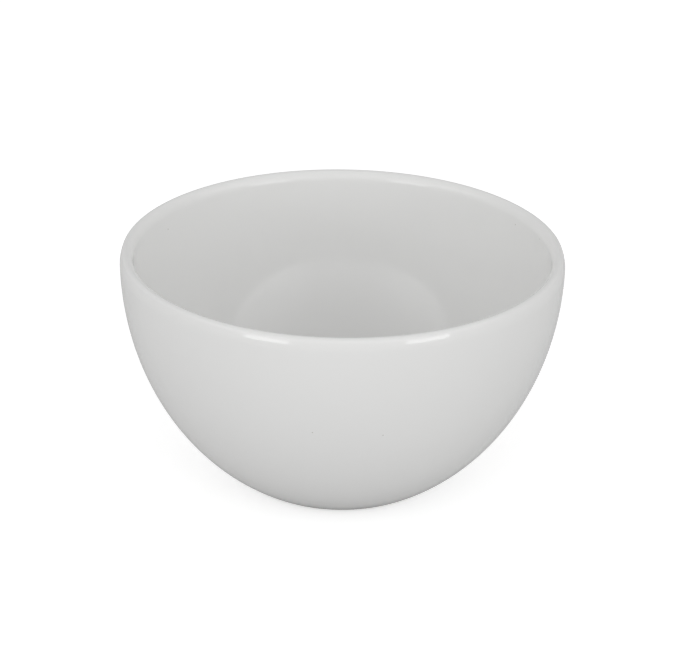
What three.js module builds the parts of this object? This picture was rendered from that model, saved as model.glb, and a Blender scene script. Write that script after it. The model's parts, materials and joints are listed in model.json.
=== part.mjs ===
// Handleless soup cup in hotel porcelain: one fired body that stands on a bare foot ring,
// a clear glaze coat over its inside, lip and outside, and a second patch of glaze in the
// recess under the foot. Millimetres, +Z up, origin on the table under the cup's axis.
import * as THREE from "three";

// Driving dimensions of the finished, glazed cup
const RIM_DIAMETER = 120;
const HEIGHT = 66;
const LIP_THICKNESS = 3.6;
const FOOT_DIAMETER = 50;

// Inside: the wall grows to this thickness towards the base, then blends into the floor
const BASE_WALL = 4.6;
const FLOOR_THICKNESS = 4.4;
const FLOOR_BLEND = 12;

// Underside: a shallow round recess leaves the foot ring, whose edges are rounded and bare
const FOOT_RING_WIDTH = 6;
const RECESS_DEPTH = 2.6;
const RECESS_FILLET = 1.4;
const BARE_FOOT_HEIGHT = 0.8;

const GLAZE_THICKNESS = 0.3;

// A rounding takes at most this share of the wall that it eases.
const ROUNDING_LIMIT = 0.9;

// Facets round the axis, and steps along each stretch of the section
const SEGMENTS = 48;
const STEPS = { inside: 12, lip: 6, outside: 10, footEdge: 3, fillet: 3 };

const UP = Math.PI / 2;
const INWARD = Math.PI;

// The lip is a half round, and its centre height is where both walls start downwards.
const lipHeight = HEIGHT - LIP_THICKNESS / 2;

// The finished outside is an ellipse about the lip's height that runs out at the foot.
const rimRadius = RIM_DIAMETER / 2;
const footShare = FOOT_DIAMETER / RIM_DIAMETER;
const outsideDrop = lipHeight / Math.sqrt(1 - footShare ** 2);

// The fired body lies one glaze thickness under the finished surface.
const body = {
  outsideRadius: rimRadius - GLAZE_THICKNESS,
  outsideDrop: outsideDrop - GLAZE_THICKNESS,
  insideRadius: rimRadius - LIP_THICKNESS + GLAZE_THICKNESS,
  insideDrop: outsideDrop - BASE_WALL + GLAZE_THICKNESS,
  lipRadius: LIP_THICKNESS / 2 - GLAZE_THICKNESS,
  recessRadius: FOOT_DIAMETER / 2 - FOOT_RING_WIDTH + GLAZE_THICKNESS,
  recessHeight: RECESS_DEPTH + GLAZE_THICKNESS,
  floorHeight: RECESS_DEPTH + FLOOR_THICKNESS - GLAZE_THICKNESS,
};

/** Points of an ellipse in the section, x across and y up, from one angle to another. */
function ellipseArc(x, y, across, up, from, to, steps) {
  return new THREE.EllipseCurve(x, y, across, up, from, to, to < from).getPoints(steps);
}

/** The larger of two heights, eased over the blend where they are close. */
function easedMax(a, b, blend) {
  const overlap = Math.max(blend - Math.abs(a - b), 0) / blend;
  return Math.max(a, b) + (overlap ** 2 * blend) / 4;
}

/** Angle below the horizontal at which the body's outside reaches a height. */
function outsideAngle(height) {
  return -Math.asin((lipHeight - height) / body.outsideDrop);
}

function outsideStretch(from, to, steps) {
  return ellipseArc(0, lipHeight, body.outsideRadius, body.outsideDrop, from, to, steps);
}

/** Inside of the body, from the middle of the floor up to the lip. */
function insideSkin() {
  const wall = ellipseArc(0, lipHeight, body.insideRadius, body.insideDrop, -UP, 0, STEPS.inside);
  wall[0].x = 0;
  for (const point of wall) point.y = easedMax(point.y, body.floorHeight, FLOOR_BLEND);
  return wall;
}

/** Lip of the body, over the top from the inside to the outside. */
function lipSkin() {
  const middle = body.insideRadius + body.lipRadius;
  return ellipseArc(middle, lipHeight, body.lipRadius, body.lipRadius, INWARD, 0, STEPS.lip);
}

/** Everything that the main coat covers: inside, lip and outside down to the bare foot. */
function coatedSkin() {
  const outside = outsideStretch(0, outsideAngle(BARE_FOOT_HEIGHT), STEPS.outside);
  return [...insideSkin(), ...lipSkin().slice(1), ...outside.slice(1)];
}

/** The bare foot: rounded outer edge, flat ring on the table, rounded inner edge. */
function bareFootSkin() {
  const [edge, corner] = outsideStretch(outsideAngle(BARE_FOOT_HEIGHT), outsideAngle(0), 1);
  const ringInner = body.recessRadius + BARE_FOOT_HEIGHT;
  const rounding = Math.min(edge.x - corner.x, (corner.x - ringInner) * ROUNDING_LIMIT);
  const ringOuter = new THREE.Vector2(corner.x - rounding, 0);
  const outerEdge = new THREE.QuadraticBezierCurve(edge, corner, ringOuter).getPoints(STEPS.footEdge);
  const innerEdge = ellipseArc(
    ringInner,
    BARE_FOOT_HEIGHT,
    BARE_FOOT_HEIGHT,
    BARE_FOOT_HEIGHT,
    -UP,
    -INWARD,
    STEPS.footEdge,
  );
  return [...outerEdge, ...innerEdge];
}

/** Recess under the foot, from its bare edge over the fillet to the axis. */
function recessSkin() {
  const edge = new THREE.Vector2(body.recessRadius, BARE_FOOT_HEIGHT);
  const fillet = Math.min(RECESS_FILLET, (body.recessHeight - BARE_FOOT_HEIGHT) * ROUNDING_LIMIT);
  const corner = ellipseArc(
    body.recessRadius - fillet,
    body.recessHeight - fillet,
    fillet,
    fillet,
    0,
    UP,
    STEPS.fillet,
  );
  return [edge, ...corner, new THREE.Vector2(0, body.recessHeight)];
}

/** The skin moved out of the body by the glaze's thickness, square to the skin. */
function glazedFace(skin) {
  return skin.map((point, i) => {
    const before = skin[Math.max(i - 1, 0)];
    const after = skin[Math.min(i + 1, skin.length - 1)];
    const along = after.clone().sub(before).normalize();
    if (point.x === 0) along.set(Math.sign(along.x), 0);
    return new THREE.Vector2(-along.y, along.x).multiplyScalar(GLAZE_THICKNESS).add(point);
  });
}

/** A solid turned about the cup's axis from a section that starts and ends on the axis. */
function turned(name, section, material) {
  const geometry = new THREE.LatheGeometry(section, SEGMENTS).rotateX(UP);
  const mesh = new THREE.Mesh(geometry, material);
  mesh.name = name;
  return mesh;
}

const barePorcelain = new THREE.MeshStandardMaterial({ color: "#e6e4de", roughness: 0.75, metalness: 0 });
const clearGlaze = new THREE.MeshStandardMaterial({ color: "#e2e2e1", roughness: 0.08, metalness: 0 });

function porcelainBody() {
  const section = [...coatedSkin(), ...bareFootSkin().slice(1), ...recessSkin().slice(1)];
  return turned("porcelain_body", section.reverse(), barePorcelain);
}

/** A coat of glaze between the body's skin and its glazed face. */
function glaze(name, skin) {
  const face = glazedFace(skin).reverse();
  const section = skin[0].x === 0 ? [...skin, ...face] : [...face, ...skin];
  return turned(name, section, clearGlaze);
}

const soupCup = new THREE.Group();
soupCup.name = "soup_cup";
soupCup.add(
  porcelainBody(),
  glaze("glaze_coat", coatedSkin()),
  glaze("foot_recess_glaze", recessSkin()),
);

export default soupCup;
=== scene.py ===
"""White porcelain soup cup without a handle: its fired body, its glaze and a soft studio round it.

Everything is in metres, +Z is up, and the origin is on the floor under the cup's axis.
"""

import json
import logging
import math
from dataclasses import dataclass
from enum import Enum
from typing import ClassVar

import bpy
from mathutils import Matrix, Vector

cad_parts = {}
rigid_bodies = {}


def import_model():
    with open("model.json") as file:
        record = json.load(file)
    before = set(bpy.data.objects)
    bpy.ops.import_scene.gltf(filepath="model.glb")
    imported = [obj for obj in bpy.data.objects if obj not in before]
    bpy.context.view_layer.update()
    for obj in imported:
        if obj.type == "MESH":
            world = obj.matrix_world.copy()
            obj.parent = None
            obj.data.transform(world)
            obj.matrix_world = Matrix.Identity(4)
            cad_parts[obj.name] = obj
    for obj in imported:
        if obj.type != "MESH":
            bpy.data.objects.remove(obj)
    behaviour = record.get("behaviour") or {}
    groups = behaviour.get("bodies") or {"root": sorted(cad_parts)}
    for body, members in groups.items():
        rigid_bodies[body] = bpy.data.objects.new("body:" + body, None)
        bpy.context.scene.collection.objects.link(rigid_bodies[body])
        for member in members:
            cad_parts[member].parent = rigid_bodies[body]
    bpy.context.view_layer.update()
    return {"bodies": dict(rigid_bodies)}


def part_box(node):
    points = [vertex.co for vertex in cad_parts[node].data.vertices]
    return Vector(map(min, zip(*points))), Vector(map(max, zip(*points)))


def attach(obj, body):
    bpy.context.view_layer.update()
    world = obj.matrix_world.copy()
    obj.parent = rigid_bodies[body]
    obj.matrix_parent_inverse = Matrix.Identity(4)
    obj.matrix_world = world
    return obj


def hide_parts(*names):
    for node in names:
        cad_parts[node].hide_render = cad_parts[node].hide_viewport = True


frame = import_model()

MM = 0.001
MERGE_DISTANCE = MM / 1000
UP = math.pi / 2
INWARD = math.pi
LOG = logging.getLogger("soup_cup")

Point = tuple[float, float]
Outline = list[Point]


class Slot(Enum):
    """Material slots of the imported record."""

    BARE = "bare_porcelain"
    GLAZE = "clear_glaze"


class Solid(Enum):
    """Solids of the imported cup."""

    BODY = "porcelain_body"
    COAT = "glaze_coat"
    RECESS = "foot_recess_glaze"


class Side(Enum):
    """Sides of the studio as the camera sees them, along X."""

    LEFT = -1
    RIGHT = 1


def linear(hex_colour: str) -> tuple[float, float, float, float]:
    """Turns an sRGB hex colour into linear light.

    Args:
        hex_colour: six hex digits after a hash sign.

    Returns:
        Red, green, blue and an alpha of one.
    """
    shares = [int(hex_colour[i : i + 2], 16) / 255 for i in (1, 3, 5)]
    red, green, blue = (s / 12.92 if s <= 0.04045 else ((s + 0.055) / 1.055) ** 2.4 for s in shares)
    return red, green, blue, 1.0


def per_metre(millimetres: float) -> float:
    """Texture scale whose features are this many millimetres wide."""
    return 1 / (millimetres * MM)


def add_node(
    tree: bpy.types.NodeTree,
    kind: str,
    inputs: dict[str | int, object] | None = None,
    **settings: object,
) -> bpy.types.Node:
    """Adds a node, sets its options and fills or links its inputs.

    Args:
        tree: node tree that the node goes into.
        kind: Blender's name of the node type.
        inputs: socket name or number to a value, or to the output socket that feeds it.
        settings: the node's own options.

    Returns:
        The new node.
    """
    node = tree.nodes.new(kind)
    for option, value in settings.items():
        setattr(node, option, value)
    for socket, value in (inputs or {}).items():
        if isinstance(value, bpy.types.NodeSocket):
            tree.links.new(value, node.inputs[socket])
        else:
            node.inputs[socket].default_value = value
    return node


def ellipse_arc(centre: Point, across: float, up: float, start: float, stop: float, steps: int) -> Outline:
    """Points along an ellipse in the cup's half section.

    Args:
        centre: distance from the axis and height of the ellipse's centre.
        across: half width of the ellipse.
        up: half height of the ellipse.
        start: angle of the first point, in radians from the outward direction.
        stop: angle of the last point.
        steps: number of stretches between the points.

    Returns:
        The points in order.
    """
    angles = [start + (stop - start) * i / steps for i in range(steps + 1)]
    return [(centre[0] + across * math.cos(a), centre[1] + up * math.sin(a)) for a in angles]


def bezier(start: Point, corner: Point, stop: Point, steps: int) -> Outline:
    """Points along a curve that eases a corner.

    Args:
        start: where the curve leaves the first side.
        corner: the corner that it cuts.
        stop: where the curve meets the second side.
        steps: number of stretches between the points.

    Returns:
        The points in order.
    """
    shares = [i / steps for i in range(steps + 1)]
    return [
        tuple(a * (1 - s) ** 2 + 2 * b * s * (1 - s) + c * s**2 for a, b, c in zip(start, corner, stop))
        for s in shares
    ]


def rounded_end(face_end: Point, skin_end: Point, steps: int) -> Outline:
    """Half round bead that closes a coat from its face to its skin.

    Args:
        face_end: last point of the coat's outer face.
        skin_end: last point of the skin under it.
        steps: number of stretches along the bead.

    Returns:
        The points between the two ends, in order.
    """
    middle = tuple((a + b) / 2 for a, b in zip(face_end, skin_end))
    half = tuple((a - b) / 2 for a, b in zip(face_end, skin_end))
    angles = [math.pi * i / steps for i in range(1, steps)]
    return [
        (
            middle[0] + half[0] * math.cos(a) + half[1] * math.sin(a),
            middle[1] + half[1] * math.cos(a) - half[0] * math.sin(a),
        )
        for a in angles
    ]


@dataclass(frozen=True)
class CupSection:
    """Half section of the glazed cup. A depth of zero is its finished face, and the fired body
    lies one glaze thickness under that."""

    rim_radius: float
    height: float
    lip_thickness: float = 3.6 * MM
    lip_crown: float = 1.1 * MM
    lip_shoulder: float = 9 * MM
    shoulder_tilt: float = math.radians(20)
    lip_inner_rise: float = 3 * MM
    foot_radius: float = 25 * MM
    base_wall: float = 4.6 * MM
    floor_thickness: float = 4.4 * MM
    floor_blend: float = 12 * MM
    foot_ring_width: float = 6 * MM
    recess_depth: float = 2.6 * MM
    recess_fillet: float = 1.4 * MM
    bare_height: float = 0.8 * MM
    glaze: float = 0.3 * MM

    @classmethod
    def from_frame(cls) -> "CupSection":
        """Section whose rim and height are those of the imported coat."""
        _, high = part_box(Solid.COAT.value)
        return cls(rim_radius=high.x, height=high.z)

    @property
    def lip_height(self) -> float:
        """Height at which both walls are widest, half a lip's thickness under the top."""
        return self.height - self.lip_thickness / 2

    @property
    def lip_start(self) -> float:
        """Height at which the outside starts to lean over to the lip."""
        shoulder = self.lip_shoulder * math.sin(self.shoulder_tilt)
        return self.height - shoulder - self.lip_crown * (1 - math.sin(self.shoulder_tilt))

    @property
    def drop(self) -> float:
        """Half height of the outside's ellipse, which runs out at the foot."""
        return self.lip_height / math.sqrt(1 - (self.foot_radius / self.rim_radius) ** 2)

    @property
    def recess_radius(self) -> float:
        """Radius of the glazed recess under the foot."""
        return self.foot_radius - self.foot_ring_width

    def outside_angle(self, height: float) -> float:
        """Angle at which the fired body's outside reaches a height."""
        return -math.asin((self.lip_height - height) / (self.drop - self.glaze))

    def inside(self, depth: float, steps: int) -> Outline:
        """Inside, from the middle of the floor up to the lip.

        Args:
            depth: distance under the finished face.
            steps: number of stretches along it.

        Returns:
            The points in order.
        """
        across = self.rim_radius - self.lip_thickness + depth
        down = self.drop - self.base_wall + depth
        floor = self.recess_depth + self.floor_thickness - depth
        stop = math.asin((self.height - self.lip_inner_rise - self.lip_height) / down)
        wall = ellipse_arc((0, self.lip_height), across, down, -UP, stop, steps)
        return [(r, self.eased_up(z, floor)) for r, z in wall]

    def eased_up(self, height: float, floor: float) -> float:
        """The larger of a wall's height and the floor's, eased where they are close."""
        overlap = max(self.floor_blend - abs(height - floor), 0) / self.floor_blend
        return max(height, floor) + overlap**2 * self.floor_blend / 4

    def wall_radius(self, across: float, down: float, height: float) -> float:
        """Distance from the axis at which a wall's ellipse reaches a height."""
        return across * math.sqrt(1 - ((height - self.lip_height) / down) ** 2)

    def lean(self, depth: float, tilt: float) -> Point:
        """How far the outside has leaned in and risen where it tilts this far upwards. It bends
        over a gentle shoulder first and then over the tight crown.

        Args:
            depth: distance under the finished face.
            tilt: angle of the face's normal above the horizontal.

        Returns:
            The distance towards the axis and the height above the lip's start.
        """
        low = min(tilt, self.shoulder_tilt)
        shoulder = self.lip_shoulder - depth
        crown = self.lip_crown - depth
        inwards = shoulder * (1 - math.cos(low)) + crown * (math.cos(low) - math.cos(tilt))
        return inwards, shoulder * math.sin(low) + crown * (math.sin(tilt) - math.sin(low))

    def lip(self, depth: float, steps: int) -> Outline:
        """Lip, over the top from the inside to the outside. The inside leans over along a quarter
        of an ellipse, and neither wall has an edge where the lip starts.

        Args:
            depth: distance under the finished face.
            steps: number of stretches along each half.

        Returns:
            The points in order.
        """
        across = self.rim_radius - self.lip_thickness + depth
        width = self.lip_thickness - self.lean(0, UP)[0] - depth
        rise = self.lip_inner_rise - depth
        points = []
        for i in range(steps):
            angle = UP * i / steps
            z = self.height - depth - rise * (1 - math.sin(angle))
            wall = self.wall_radius(across, self.drop - self.base_wall + depth, z)
            points.append((wall + width * (1 - math.cos(angle)), z))
        half = steps // 2
        tilts = [UP + (self.shoulder_tilt - UP) * i / half for i in range(half)]
        tilts += [self.shoulder_tilt * (1 - i / half) for i in range(half + 1)]
        for tilt in tilts:
            inwards, up = self.lean(depth, tilt)
            z = self.lip_start + up
            points.append((self.wall_radius(self.rim_radius - depth, self.drop - depth, z) - inwards, z))
        return points

    def outside(self, depth: float, steps: int) -> Outline:
        """Outside, from the lip down to the bare foot.

        Args:
            depth: distance under the finished face.
            steps: number of stretches along it.

        Returns:
            The points in order.
        """
        down = self.drop - depth
        start = math.asin((self.lip_start - self.lip_height) / down)
        stop = self.outside_angle(self.bare_height)
        return ellipse_arc((0, self.lip_height), self.rim_radius - depth, down, start, stop, steps)

    def coated(self, depth: float, inside: int, lip: int, outside: int) -> Outline:
        """All that the main coat covers, from the middle of the floor to the bare foot.

        Args:
            depth: distance under the finished face.
            inside: number of stretches along the inside.
            lip: number of stretches along each half of the lip.
            outside: number of stretches along the outside.

        Returns:
            The points in order.
        """
        return [
            *self.inside(depth, inside),
            *self.lip(depth, lip)[1:],
            *self.outside(depth, outside)[1:],
        ]

    def skin(self) -> Outline:
        """Fired body's face under the main coat, which the body and the coat share."""
        return self.coated(self.glaze, inside=24, lip=6, outside=24)

    def bare_foot(self, steps: int) -> Outline:
        """Bare foot of the fired body: rounded outer edge, flat ring and rounded inner edge.

        Args:
            steps: number of stretches round each edge.

        Returns:
            The points in order.
        """
        across = self.rim_radius - self.glaze
        edge, corner = (
            (across * math.cos(self.outside_angle(height)), height) for height in (self.bare_height, 0)
        )
        ring_outer = (2 * corner[0] - edge[0], 0)
        ring_inner = self.recess_radius + self.glaze + self.bare_height
        inner_edge = ellipse_arc(
            (ring_inner, self.bare_height), self.bare_height, self.bare_height, -UP, -INWARD, steps
        )
        return [*bezier(edge, corner, ring_outer, steps), *inner_edge]

    def recess(self, depth: float, steps: int) -> Outline:
        """Recess under the foot, from its bare edge over the fillet to the axis.

        Args:
            depth: distance under the finished face.
            steps: number of stretches round the fillet.

        Returns:
            The points in order.
        """
        radius = self.recess_radius + depth
        top = self.recess_depth + depth
        fillet = self.recess_fillet - self.glaze + depth
        corner = ellipse_arc((radius - fillet, top - fillet), fillet, fillet, 0, UP, steps)
        return [(radius, self.bare_height), *corner, (0, top)]

    def recess_skin(self) -> Outline:
        """Fired body's face under the recess glaze, which the body and that glaze share."""
        return self.recess(self.glaze, steps=6)


@dataclass(frozen=True)
class GlazedPorcelain:
    """White hotel porcelain under a clear gloss glaze, jiggered on a wheel and glost fired.

    The eye gets a neutral white with sharp reflections, a faint orange peel where the glaze
    has flowed, fainter turning rings from the forming tool under it, and a few iron specks.
    """

    name: str = "glazed_porcelain"
    white: str = "#f1f1f0"
    mottled: str = "#f0f0ef"
    speck: str = "#c6c4be"
    ior: float = 1.5
    smoothest: float = 0.06
    roughest: float = 0.1
    mottle_mm: float = 24
    mottle_detail: float = 4
    ring_mm: float = 1.6
    ring_run_mm: float = 45
    ring_detail: float = 2
    ring_height: float = 0.004 * MM
    peel_mm: float = 4.5
    peel_detail: float = 1
    peel_height: float = 0.004 * MM
    speck_cell_mm: float = 6
    speck_radius_mm: float = 0.22
    speck_share: float = 0.25

    def material(self) -> bpy.types.Material:
        """Makes the glaze's material.

        Returns:
            The material.
        """
        material = bpy.data.materials.new(self.name)
        material.use_nodes = True
        tree = material.node_tree
        shader = tree.nodes["Principled BSDF"]
        place = add_node(tree, "ShaderNodeTexCoord").outputs["Object"]
        colour = self.colour(tree, place)
        haze = add_node(tree, "ShaderNodeTexNoise", {"Vector": place, "Scale": per_metre(self.mottle_mm)})
        gloss = add_node(
            tree,
            "ShaderNodeMapRange",
            {"Value": haze.outputs["Fac"], "To Min": self.smoothest, "To Max": self.roughest},
        )
        tree.links.new(colour, shader.inputs["Base Color"])
        tree.links.new(gloss.outputs["Result"], shader.inputs["Roughness"])
        tree.links.new(self.relief(tree, place), shader.inputs["Normal"])
        shader.inputs["IOR"].default_value = self.ior
        return material

    def colour(self, tree: bpy.types.NodeTree, place: bpy.types.NodeSocket) -> bpy.types.NodeSocket:
        """Mottled white with iron specks.

        Args:
            tree: node tree of the material.
            place: object coordinates.

        Returns:
            The colour's socket.
        """
        mottle = add_node(
            tree,
            "ShaderNodeTexNoise",
            {"Vector": place, "Scale": per_metre(self.mottle_mm), "Detail": self.mottle_detail},
        )
        ground = add_node(
            tree,
            "ShaderNodeMix",
            {0: mottle.outputs["Fac"], "A": linear(self.white), "B": linear(self.mottled)},
            data_type="RGBA",
        )
        cells = add_node(
            tree, "ShaderNodeTexVoronoi", {"Vector": place, "Scale": per_metre(self.speck_cell_mm)}
        )
        radius = self.speck_radius_mm / self.speck_cell_mm
        dot = add_node(
            tree,
            "ShaderNodeMapRange",
            {"Value": cells.outputs["Distance"], "From Min": radius, "From Max": radius / 2},
        )
        chosen = add_node(
            tree,
            "ShaderNodeMath",
            {0: cells.outputs["Color"], 1: 1 - self.speck_share},
            operation="GREATER_THAN",
        )
        specked = add_node(
            tree,
            "ShaderNodeMath",
            {0: dot.outputs["Result"], 1: chosen.outputs["Value"]},
            operation="MULTIPLY",
        )
        return add_node(
            tree,
            "ShaderNodeMix",
            {0: specked.outputs["Value"], "A": ground.outputs["Result"], "B": linear(self.speck)},
            data_type="RGBA",
        ).outputs["Result"]

    def relief(self, tree: bpy.types.NodeTree, place: bpy.types.NodeSocket) -> bpy.types.NodeSocket:
        """Turning rings under the glaze's orange peel.

        Args:
            tree: node tree of the material.
            place: object coordinates.

        Returns:
            The normal's socket.
        """
        flat = add_node(tree, "ShaderNodeVectorMath", {0: place, 1: (1, 1, 0)}, operation="MULTIPLY")
        reach = add_node(tree, "ShaderNodeVectorMath", {0: flat.outputs["Vector"]}, operation="LENGTH")
        axes = add_node(tree, "ShaderNodeSeparateXYZ", {0: place})
        # Distance from the axis plus height grows steadily from the floor to the lip.
        along = add_node(
            tree,
            "ShaderNodeMath",
            {0: reach.outputs["Value"], 1: axes.outputs["Z"]},
            operation="ADD",
        )
        slow = self.ring_mm / self.ring_run_mm
        round_the_axis = add_node(
            tree, "ShaderNodeVectorMath", {0: flat.outputs["Vector"], 1: (slow,) * 3}, operation="MULTIPLY"
        )
        slow_axes = add_node(tree, "ShaderNodeSeparateXYZ", {0: round_the_axis.outputs["Vector"]})
        ring_place = add_node(
            tree,
            "ShaderNodeCombineXYZ",
            {"X": slow_axes.outputs["X"], "Y": slow_axes.outputs["Y"], "Z": along.outputs["Value"]},
        )
        rings = add_node(
            tree,
            "ShaderNodeTexNoise",
            {
                "Vector": ring_place.outputs["Vector"],
                "Scale": per_metre(self.ring_mm),
                "Detail": self.ring_detail,
            },
        )
        turned = add_node(
            tree,
            "ShaderNodeBump",
            {"Height": rings.outputs["Fac"], "Distance": self.ring_height, "Strength": 1.0},
        )
        peel = add_node(
            tree,
            "ShaderNodeTexNoise",
            {"Vector": place, "Scale": per_metre(self.peel_mm), "Detail": self.peel_detail},
        )
        return add_node(
            tree,
            "ShaderNodeBump",
            {
                "Height": peel.outputs["Fac"],
                "Distance": self.peel_height,
                "Strength": 1.0,
                "Normal": turned.outputs["Normal"],
            },
        ).outputs["Normal"]


@dataclass(frozen=True)
class BarePorcelain:
    """Vitrified porcelain with its glaze wiped off before firing, then ground smooth on the foot.

    The eye gets a dull, faintly warm white with a fine grit, greyed where it rubs on tables.
    """

    name: str = "bare_porcelain_foot"
    white: str = "#dedbd4"
    rubbed: str = "#b4b0a8"
    rub_height: float = 0.3 * MM
    rub_share: float = 0.8
    rub_patch_mm: float = 5
    rub_detail: float = 5
    grit_mm: float = 0.35
    grit_height: float = 0.012 * MM
    roughness: float = 0.62
    ior: float = 1.5

    def material(self) -> bpy.types.Material:
        """Makes the bare foot's material.

        Returns:
            The material.
        """
        material = bpy.data.materials.new(self.name)
        material.use_nodes = True
        tree = material.node_tree
        shader = tree.nodes["Principled BSDF"]
        place = add_node(tree, "ShaderNodeTexCoord").outputs["Object"]
        height = add_node(tree, "ShaderNodeSeparateXYZ", {0: place}).outputs["Z"]
        touched = add_node(
            tree,
            "ShaderNodeMapRange",
            {"Value": height, "From Min": self.rub_height, "From Max": 0.0, "To Max": self.rub_share},
        )
        patches = add_node(
            tree,
            "ShaderNodeTexNoise",
            {"Vector": place, "Scale": per_metre(self.rub_patch_mm), "Detail": self.rub_detail},
        )
        rubbed = add_node(
            tree,
            "ShaderNodeMath",
            {0: touched.outputs["Result"], 1: patches.outputs["Fac"]},
            operation="MULTIPLY",
        )
        colour = add_node(
            tree,
            "ShaderNodeMix",
            {0: rubbed.outputs["Value"], "A": linear(self.white), "B": linear(self.rubbed)},
            data_type="RGBA",
        )
        grit = add_node(tree, "ShaderNodeTexNoise", {"Vector": place, "Scale": per_metre(self.grit_mm)})
        rough = add_node(
            tree,
            "ShaderNodeBump",
            {"Height": grit.outputs["Fac"], "Distance": self.grit_height, "Strength": 1.0},
        )
        tree.links.new(colour.outputs["Result"], shader.inputs["Base Color"])
        tree.links.new(rough.outputs["Normal"], shader.inputs["Normal"])
        shader.inputs["Roughness"].default_value = self.roughness
        shader.inputs["IOR"].default_value = self.ior
        return material


@dataclass
class TurnedPiece:
    """A piece turned about the cup's axis. Its kinds say their outline and what they stand for."""

    section: CupSection
    finish: bpy.types.Material
    segments: int = 192

    name: ClassVar[str]
    solid: ClassVar[Solid]
    slot: ClassVar[Slot]

    def outline(self) -> Outline:
        """Closed half section, from the axis to the axis."""
        raise NotImplementedError

    def build(self) -> bpy.types.Object:
        """Draws the half section vertex by vertex, spins it and dresses the piece.

        Returns:
            The finished piece.
        """
        outline = self.outline()
        bpy.ops.object.select_all(action="DESELECT")
        bpy.ops.mesh.primitive_plane_add(size=MM, location=(0, 0, 0))
        piece = bpy.context.object
        piece.name = piece.data.name = self.name
        bpy.ops.object.mode_set(mode="EDIT")
        bpy.ops.mesh.select_all(action="SELECT")
        bpy.ops.mesh.merge(type="CENTER")
        bpy.ops.transform.translate(value=(outline[0][0], 0, outline[0][1]))
        for (radius, height), (next_radius, next_height) in zip(outline, outline[1:]):
            step = (next_radius - radius, 0, next_height - height)
            bpy.ops.mesh.extrude_vertices_move(TRANSFORM_OT_translate={"value": step})
        bpy.ops.mesh.select_all(action="SELECT")
        bpy.ops.mesh.spin(steps=self.segments, angle=2 * math.pi, center=(0, 0, 0), axis=(0, 0, 1))
        bpy.ops.mesh.select_all(action="SELECT")
        bpy.ops.mesh.remove_doubles(threshold=MERGE_DISTANCE)
        bpy.ops.mesh.normals_make_consistent(inside=False)
        bpy.ops.object.mode_set(mode="OBJECT")
        bpy.ops.object.shade_smooth()
        self.dress(piece)
        return piece

    def dress(self, piece: bpy.types.Object) -> None:
        """Gives the piece its finish and its place in the frame.

        Args:
            piece: piece that was built.
        """
        piece.data.materials.append(self.finish)
        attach(piece, next(iter(frame["bodies"])))
        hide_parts(self.solid.value)
        LOG.info("%s stands for %s with %d faces", piece.name, self.solid.value, len(piece.data.polygons))


@dataclass
class FiredBody(TurnedPiece):
    """Fired porcelain under the glaze, which shows only at the bare foot ring."""

    name: ClassVar[str] = "fired_body"
    solid: ClassVar[Solid] = Solid.BODY
    slot: ClassVar[Slot] = Slot.BARE

    def outline(self) -> Outline:
        """Closed half section, over the inside, lip, outside, foot and recess."""
        section = self.section
        return [
            *section.skin(),
            *section.bare_foot(steps=8)[1:],
            *section.recess_skin()[1:],
        ]


@dataclass
class GlazeCoat(TurnedPiece):
    """Clear glaze over the inside, lip and outside, with a rounded edge above the bare foot."""

    name: ClassVar[str] = "cup_glaze"
    solid: ClassVar[Solid] = Solid.COAT
    slot: ClassVar[Slot] = Slot.GLAZE

    def outline(self) -> Outline:
        """Closed half section, along the face, round its edge and back along the skin."""
        section = self.section
        face = section.coated(0, inside=80, lip=22, outside=72)
        skin = section.skin()
        return [*face, *rounded_end(face[-1], skin[-1], steps=6), *reversed(skin)]


@dataclass
class RecessGlaze(TurnedPiece):
    """Clear glaze in the recess under the foot, with a rounded edge inside the bare ring."""

    name: ClassVar[str] = "recess_glaze"
    solid: ClassVar[Solid] = Solid.RECESS
    slot: ClassVar[Slot] = Slot.GLAZE

    def outline(self) -> Outline:
        """Closed half section, along the skin, round its edge and back along the face."""
        section = self.section
        skin = section.recess_skin()
        face = section.recess(0, steps=12)
        return [*reversed(skin), *rounded_end(skin[0], face[0], steps=6), *face]


@dataclass(frozen=True)
class Softbox:
    """Flat soft lamp that faces the cup. Its edges are given as the cup's middle sees them, and its
    turn swings it round the cup."""

    name: str
    inner_azimuth: float
    outer_azimuth: float
    low: float
    high: float
    radiance: float
    turn: float = math.radians(3)
    distance: float = 1.0
    aim_height: float = 50 * MM

    def build(self, side: Side) -> bpy.types.Object:
        """Makes the lamp on one side of the camera.

        Args:
            side: side of the studio that the lamp stands on.

        Returns:
            The lamp's object.
        """
        azimuth = (self.inner_azimuth + self.outer_azimuth) / 2
        elevation = (self.low + self.high) / 2
        lamp = bpy.data.lights.new(f"{self.name}_{side.name.lower()}", "AREA")
        lamp.shape = "RECTANGLE"
        lamp.size = 2 * self.distance * math.cos(elevation) * math.tan(self.outer_azimuth - azimuth)
        lamp.size_y = 2 * self.distance * math.tan(self.high - elevation)
        lamp.energy = self.radiance * math.pi * lamp.size * lamp.size_y
        bearing = side.value * azimuth + self.turn
        away = Vector(
            (
                math.sin(bearing) * math.cos(elevation),
                -math.cos(bearing) * math.cos(elevation),
                math.sin(elevation),
            )
        )
        holder = bpy.data.objects.new(lamp.name, lamp)
        bpy.context.scene.collection.objects.link(holder)
        holder.location = away * self.distance + Vector((0, 0, self.aim_height))
        holder.rotation_euler = (-away).to_track_quat("-Z", "Y").to_euler()
        return holder


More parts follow.
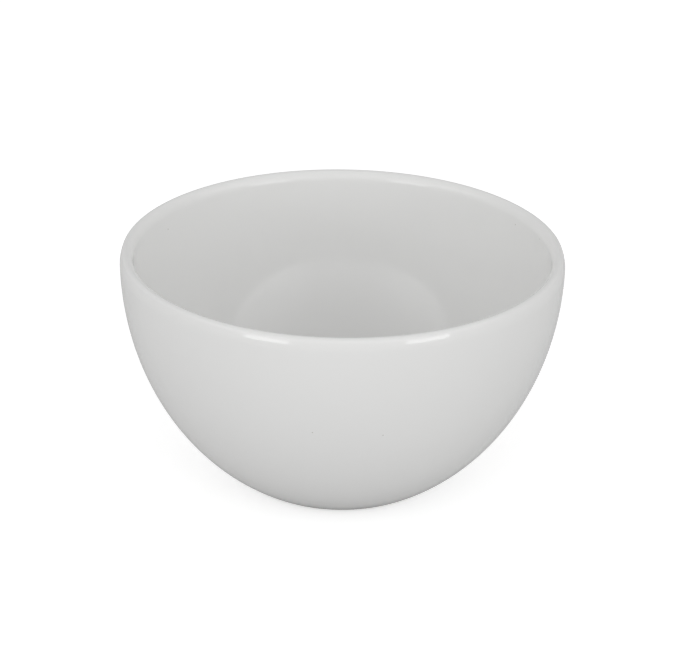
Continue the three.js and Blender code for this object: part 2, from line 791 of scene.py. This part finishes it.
@dataclass(frozen=True)
class Studio:
    """Pale floor, a broad soft light in front that is dimmer in the middle, and two low lamps.

    Each edge of the front light is a pair: where the light starts and where it is full, as parts of
    the unit direction. The front edge is along Y, the front top and the horizon are along Z, and the
    gap is the distance to either side along X.
    """

    light: str = "#ffffff"
    floor_size: float = 8.0
    floor: str = "#d8d8d8"
    floor_lift: float = 0.6
    glossy_share: float = 0.1
    surround: float = 0.58
    front_light: float = 2.88
    front_edge: Point = (0.15, -0.3)
    front_top: Point = (0.9, -0.47)
    horizon: Point = (0.11, 0.34)
    gap: Point = (0.2, 0.6)
    gap_share: float = 0.5
    lamps: tuple[Softbox, ...] = (
        Softbox(
            name="low_strip",
            inner_azimuth=math.radians(28),
            outer_azimuth=math.radians(50),
            low=math.radians(-1),
            high=math.radians(11),
            radiance=3.2,
        ),
    )

    def build(self) -> None:
        """Makes the floor, the surround and the lamps."""
        self.lay_floor()
        self.light_surround()
        for side in Side:
            for lamp in self.lamps:
                lamp.build(side)

    def lay_floor(self) -> None:
        """Makes the floor, which the camera sees as white apart from the cup's shadow.

        The glaze mirrors only a share of that white, so the cup's outline stays darker than the floor.
        """
        bpy.ops.object.select_all(action="DESELECT")
        bpy.ops.mesh.primitive_plane_add(size=self.floor_size, location=(0, 0, 0))
        floor = bpy.context.object
        floor.name = "floor"
        material = bpy.data.materials.new("pale_floor")
        material.use_nodes = True
        tree = material.node_tree
        tree.nodes.clear()
        ray = add_node(tree, "ShaderNodeLightPath")
        seen = add_node(
            tree,
            "ShaderNodeMath",
            {0: ray.outputs["Is Camera Ray"], 1: ray.outputs["Is Transmission Ray"]},
            operation="MAXIMUM",
        )
        mirrored = add_node(
            tree,
            "ShaderNodeMath",
            {0: ray.outputs["Is Glossy Ray"], 1: self.glossy_share, 2: seen.outputs["Value"]},
            operation="MULTIPLY_ADD",
        )
        lift = add_node(
            tree,
            "ShaderNodeMath",
            {0: mirrored.outputs["Value"], 1: self.floor_lift},
            operation="MULTIPLY",
        )
        glow = add_node(
            tree, "ShaderNodeEmission", {"Color": linear(self.light), "Strength": lift.outputs["Value"]}
        )
        matte = add_node(tree, "ShaderNodeBsdfDiffuse", {"Color": linear(self.floor)})
        both = add_node(tree, "ShaderNodeAddShader", {0: glow.outputs[0], 1: matte.outputs[0]})
        add_node(tree, "ShaderNodeOutputMaterial", {"Surface": both.outputs[0]})
        floor.data.materials.append(material)

    def light_surround(self) -> None:
        """Makes the world: soft light, strongest low in front, which the camera sees as white."""
        world = bpy.data.worlds.new("studio_surround")
        bpy.context.scene.world = world
        world.use_nodes = True
        tree = world.node_tree
        tree.nodes.clear()
        direction = add_node(tree, "ShaderNodeTexCoord").outputs["Generated"]
        axes = add_node(tree, "ShaderNodeSeparateXYZ", {0: direction})
        sideways = add_node(tree, "ShaderNodeMath", {0: axes.outputs["X"]}, operation="ABSOLUTE")
        edges = (
            (axes.outputs["Y"], self.front_edge, 0.0),
            (axes.outputs["Z"], self.front_top, 0.0),
            (axes.outputs["Z"], self.horizon, 0.0),
            (sideways.outputs["Value"], self.gap, self.gap_share),
        )
        front = self.front_light
        for along, (begin, full), least in edges:
            share = add_node(
                tree,
                "ShaderNodeMapRange",
                {"Value": along, "From Min": begin, "From Max": full, "To Min": least},
                interpolation_type="SMOOTHSTEP",
            )
            front = add_node(
                tree, "ShaderNodeMath", {0: front, 1: share.outputs["Result"]}, operation="MULTIPLY"
            ).outputs["Value"]
        soft = add_node(tree, "ShaderNodeMath", {0: front, 1: self.surround}, operation="ADD")
        ray = add_node(tree, "ShaderNodeLightPath")
        level = add_node(
            tree,
            "ShaderNodeMapRange",
            {"Value": ray.outputs["Is Camera Ray"], "To Min": soft.outputs["Value"], "To Max": 1.0},
        )
        sky = add_node(
            tree,
            "ShaderNodeBackground",
            {"Color": linear(self.light), "Strength": level.outputs["Result"]},
        )
        add_node(tree, "ShaderNodeOutputWorld", {"Surface": sky.outputs[0]})


@dataclass(frozen=True)
class PhotoCamera:
    """Camera at the photograph's viewing angle. Pixels are those of the 681 by 660 frame, in which
    the rim's radius, seen at the target's distance, spans rim_pixels."""

    rim_radius: float
    rim_pixels: float = 220
    image_width: float = 681
    image_height: float = 660
    sensor_width: float = 36.0
    distance: float = 0.96
    elevation: float = math.radians(24.43)
    roll: float = math.radians(0.75)
    target_height: float = 36 * MM
    target_pixel: Point = (341.6, 350.55)

    def build(self) -> None:
        """Makes the camera and hands it to the scene."""
        focal_pixels = self.rim_pixels / self.rim_radius * self.distance
        data = bpy.data.cameras.new("photo_camera")
        data.sensor_width = self.sensor_width
        data.lens = focal_pixels * self.sensor_width / self.image_width
        camera = bpy.data.objects.new("photo_camera", data)
        bpy.context.scene.collection.objects.link(camera)
        back = Vector((0, -math.cos(self.elevation), math.sin(self.elevation)))
        aim = (-back).to_track_quat("-Z", "Y").to_matrix().to_4x4()
        right = (self.target_pixel[0] - self.image_width / 2) / focal_pixels
        below = (self.target_pixel[1] - self.image_height / 2) / focal_pixels
        turn = (
            Matrix.Rotation(math.atan(below), 4, "X")
            @ Matrix.Rotation(math.atan(right), 4, "Y")
            @ Matrix.Rotation(self.roll, 4, "Z")
        )
        place = Vector((0, 0, self.target_height)) + back * self.distance
        camera.matrix_world = Matrix.Translation(place) @ aim @ turn
        bpy.context.scene.camera = camera


def main() -> None:
    """Builds the camera, the studio and the cup's pieces in order."""
    logging.basicConfig(level=logging.INFO, format="%(name)s: %(message)s")
    bpy.context.scene.view_settings.view_transform = "Standard"
    section = CupSection.from_frame()
    PhotoCamera(section.rim_radius).build()
    Studio().build()
    glaze = GlazedPorcelain().material()
    bare = BarePorcelain().material()
    FiredBody(section, bare).build()
    GlazeCoat(section, glaze).build()
    RecessGlaze(section, glaze).build()


if __name__ == "__main__":
    main()
